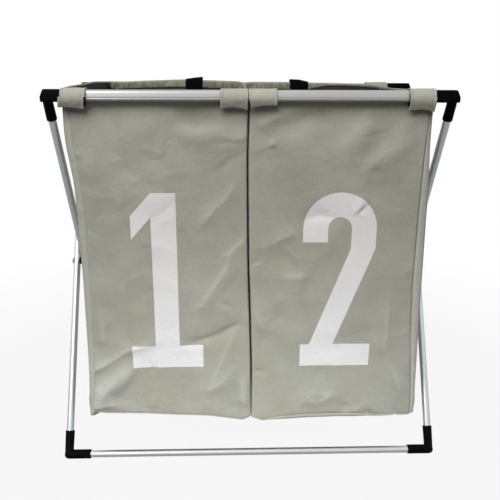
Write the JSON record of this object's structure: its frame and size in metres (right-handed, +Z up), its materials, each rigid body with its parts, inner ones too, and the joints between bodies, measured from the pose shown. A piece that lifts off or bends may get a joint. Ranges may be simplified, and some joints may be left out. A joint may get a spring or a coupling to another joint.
{
  "type": "double laundry hamper",
  "caption": "Folding laundry hamper: two crossed tube frames hinged at mid height carry two open fabric bags side by side.",
  "frame": {"origin": "on the floor under the middle of the hamper", "axes": "+Z up, +Y from the front bar to the back bar, +X to the right seen from the front"},
  "size_m": [0.6506, 0.337, 0.6313],
  "materials": {
    "aluminium": "satin anodised aluminium tube",
    "black_plastic": "moulded black plastic with a fine grain",
    "zinc_steel": "zinc plated steel",
    "greige_cloth": "coated plain weave cloth, greige outside and near black inside",
    "black_webbing": "woven black webbing"
  },
  "bodies": {
    "inner_frame": {"front_top_bar": "aluminium", "back_bottom_bar": "aluminium", "inner_leg_left": "aluminium", "inner_leg_right": "aluminium", "front_top_elbow_left": "black_plastic", "front_top_elbow_right": "black_plastic", "back_bottom_elbow_left": "black_plastic", "back_bottom_elbow_right": "black_plastic", "pivot_bolt_left": "zinc_steel", "pivot_bolt_right": "zinc_steel", "pivot_washer_left": "black_plastic", "pivot_washer_right": "black_plastic", "pivot_nut_left": "zinc_steel", "pivot_nut_right": "zinc_steel", "bag_left": "greige_cloth", "bag_right": "greige_cloth", "front_loop_outer_left": "greige_cloth", "front_loop_inner_left": "greige_cloth", "front_loop_inner_right": "greige_cloth", "front_loop_outer_right": "greige_cloth"},
    "outer_frame": {"back_top_bar": "aluminium", "front_bottom_bar": "aluminium", "outer_leg_left": "aluminium", "outer_leg_right": "aluminium", "back_top_elbow_left": "black_plastic", "back_top_elbow_right": "black_plastic", "front_bottom_elbow_left": "black_plastic", "front_bottom_elbow_right": "black_plastic", "back_loop_outer_left": "greige_cloth", "back_loop_inner_left": "greige_cloth", "back_loop_inner_right": "greige_cloth", "back_loop_outer_right": "greige_cloth", "back_strap_left": "black_webbing", "back_strap_right": "black_webbing"}
  },
  "joints": [
    {"name": "frame_fold", "type": "hinge", "parent": "inner_frame", "child": "outer_frame", "pos_m": [0, 0, 0.3113], "axis": [1, 0, 0], "range_deg": [0, 48], "deforming": ["bag_left", "bag_right"]}
  ]
}
